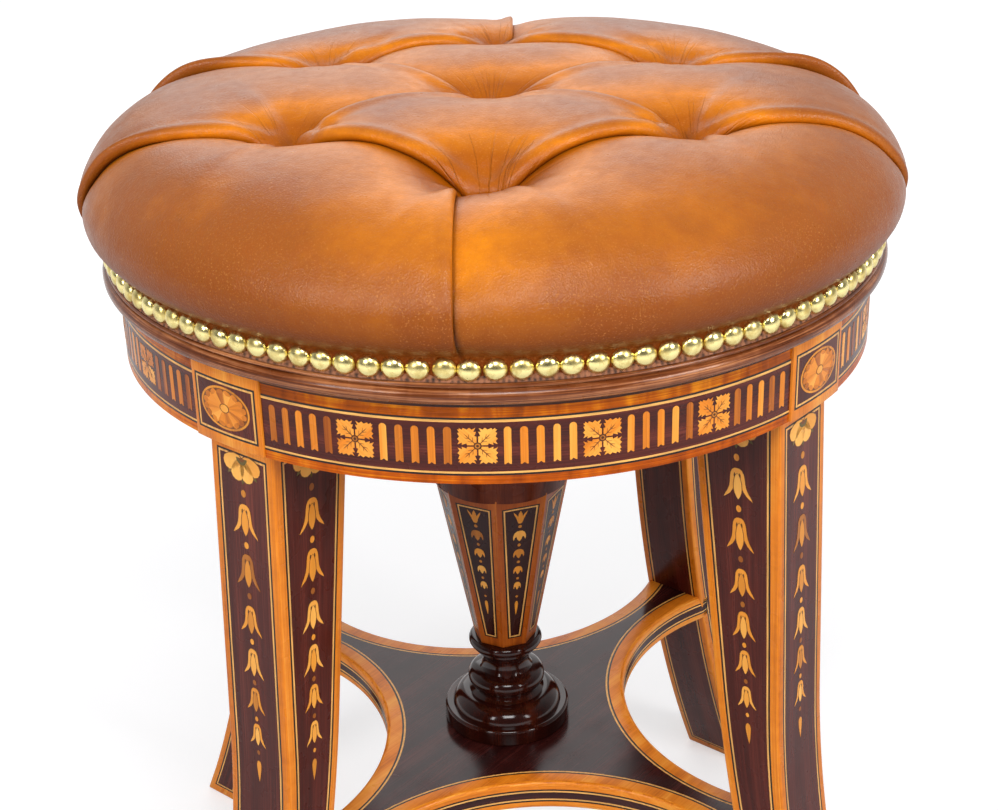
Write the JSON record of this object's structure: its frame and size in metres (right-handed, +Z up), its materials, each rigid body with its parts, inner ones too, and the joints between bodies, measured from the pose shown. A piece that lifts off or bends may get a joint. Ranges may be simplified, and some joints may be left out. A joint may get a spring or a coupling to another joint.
{
  "type": "piano stool",
  "caption": "Round tufted leather piano stool with brass-nailed edge, inlaid frieze, sabre legs, stretcher platform and a column housing the rising screw.",
  "frame": {"origin": "on the floor under the middle of the stool", "axes": "+Z up, the seat's turning axis; -Y towards the front, as the picture sees it; +X to the viewer's right"},
  "size_m": [0.3926, 0.3926, 0.502],
  "materials": {
    "satinwood_carcass": "satinwood veneer, french polished",
    "mahogany_band": "dark mahogany veneer, french polished",
    "satinwood_inlay": "satinwood inlay, french polished",
    "beech": "plain beech, unpolished",
    "iron": "cast iron, blacked",
    "steel": "turned steel",
    "satinwood_column": "satinwood veneer over mahogany, french polished",
    "mahogany_turned": "turned mahogany, french polished",
    "mahogany_platform": "mahogany veneer with satinwood edge, french polished",
    "hair_stuffing": "hair stuffing under scrim",
    "twine": "waxed linen twine",
    "tan_leather": "smooth tan hide, semi-aniline",
    "brass": "polished brass"
  },
  "bodies": {
    "stand": {"leg_front_left": "satinwood_carcass", "leg_front_right": "satinwood_carcass", "leg_back_right": "satinwood_carcass", "leg_back_left": "satinwood_carcass", "frieze_rail_front": "satinwood_carcass", "frieze_rail_right": "satinwood_carcass", "frieze_rail_back": "satinwood_carcass", "frieze_rail_left": "satinwood_carcass", "frieze_band_front": "mahogany_band", "frieze_band_right": "mahogany_band", "frieze_band_back": "mahogany_band", "frieze_band_left": "mahogany_band", "frieze_flutes": "satinwood_inlay", "frieze_rosettes": "satinwood_inlay", "block_paterae": "satinwood_inlay", "glue_blocks": "beech", "cross_rail_x": "beech", "cross_rail_y": "beech", "screw_nut": "iron", "nut_screws": "steel", "column_screws": "steel", "column": "satinwood_column", "column_bolt": "steel", "socle": "mahogany_turned", "platform": "mahogany_platform", "platform_pegs": "beech"},
    "screw_stop": {"stop_washer": "steel"},
    "seat": {"seat_screw": "steel", "stop_nut": "steel", "stop_pin": "steel", "seat_plate": "iron", "plate_screws": "steel", "seat_board": "beech", "seat_moulding": "mahogany_turned", "first_stuffing": "hair_stuffing", "tuft_twines": "twine", "seat_cover": "tan_leather", "brass_studs": "brass"}
  },
  "joints": [
    {"name": "seat_rise", "type": "slide", "parent": "stand", "child": "screw_stop", "axis": [0, 0, 1], "range_m": [0, 0.09]},
    {"name": "seat_turn", "type": "hinge", "parent": "screw_stop", "child": "seat", "pos_m": [0, 0, 0.34], "axis": [0, 0, 1], "range_deg": [0, 5400]}
  ],
  "couplings": [
    {"joint": "seat_rise", "follows": "seat_turn", "m_per_rad": 0.00095493}
  ]
}
